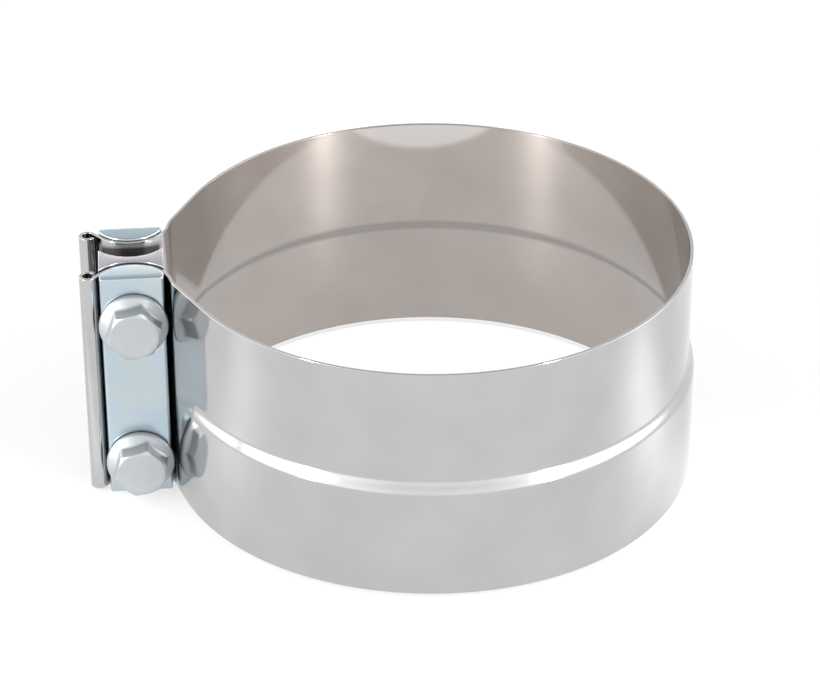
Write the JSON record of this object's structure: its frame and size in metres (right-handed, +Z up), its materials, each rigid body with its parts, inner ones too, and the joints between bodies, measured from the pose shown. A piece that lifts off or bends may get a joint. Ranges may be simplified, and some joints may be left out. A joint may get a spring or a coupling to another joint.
{
  "type": "pipe clamp",
  "caption": "Stepped lap-joint band clamp in bright stainless sheet, drawn closed by flange bolts through two half-round bars and a reaction block.",
  "frame": {"origin": "middle of the footprint, on the plane that the clamping bars' lower ends stand on", "axes": "+X from the bolts across the pipe, +Y along the bolts from their heads to their nuts, +Z up along the pipe's axis"},
  "size_m": [0.1544, 0.1338, 0.0616],
  "materials": {
    "band": "bright annealed stainless sheet, near mirror",
    "bars": "blue zinc plate, satin",
    "block": "bright steel with rounded edges",
    "fasteners": "pale zinc plate, satin"
  },
  "bodies": {
    "front_side": {"band_front_half": "band", "front_clamping_bar": "bars", "reaction_block": "block"},
    "rear_band": {"band_rear_half": "band"},
    "rear_bar": {"rear_clamping_bar": "bars"},
    "upper_bolt": {"flange_bolt_upper": "fasteners"},
    "lower_bolt": {"flange_bolt_lower": "fasteners"},
    "upper_nut": {"flange_nut_upper": "fasteners"},
    "lower_nut": {"flange_nut_lower": "fasteners"}
  },
  "joints": [
    {"name": "band_close", "type": "hinge", "parent": "front_side", "child": "rear_band", "pos_m": [0.076, 0, 0], "axis": [0, 0, 1], "range_deg": [-1.2, 2.8]},
    {"name": "rear_bar_swivel", "type": "hinge", "parent": "rear_band", "child": "rear_bar", "pos_m": [-0.0644, 0.0154, 0], "axis": [0, 0, 1], "range_deg": [-2.8, 1.2]},
    {"name": "upper_nut_travel", "type": "slide", "parent": "front_side", "child": "upper_nut", "axis": [0, 1, 0], "range_m": [-0.00685, 0.003]},
    {"name": "lower_nut_travel", "type": "slide", "parent": "front_side", "child": "lower_nut", "axis": [0, 1, 0], "range_m": [-0.00685, 0.003]},
    {"name": "upper_bolt_turn", "type": "hinge", "parent": "front_side", "child": "upper_bolt", "pos_m": [-0.0644, 0, 0.0488], "axis": [0, 1, 0], "range_deg": [-840, 1970]},
    {"name": "lower_bolt_turn", "type": "hinge", "parent": "front_side", "child": "lower_bolt", "pos_m": [-0.0644, 0, 0.0092], "axis": [0, 1, 0], "range_deg": [-840, 1970]}
  ],
  "couplings": [
    {"joint": "lower_bolt_turn", "follows": "upper_bolt_turn", "ratio": 1},
    {"joint": "band_close", "follows": "upper_bolt_turn", "ratio": 0.001417},
    {"joint": "rear_bar_swivel", "follows": "upper_bolt_turn", "ratio": -0.001417},
    {"joint": "upper_nut_travel", "follows": "upper_bolt_turn", "m_per_rad": -0.00019894},
    {"joint": "lower_nut_travel", "follows": "upper_bolt_turn", "m_per_rad": -0.00019894}
  ]
}
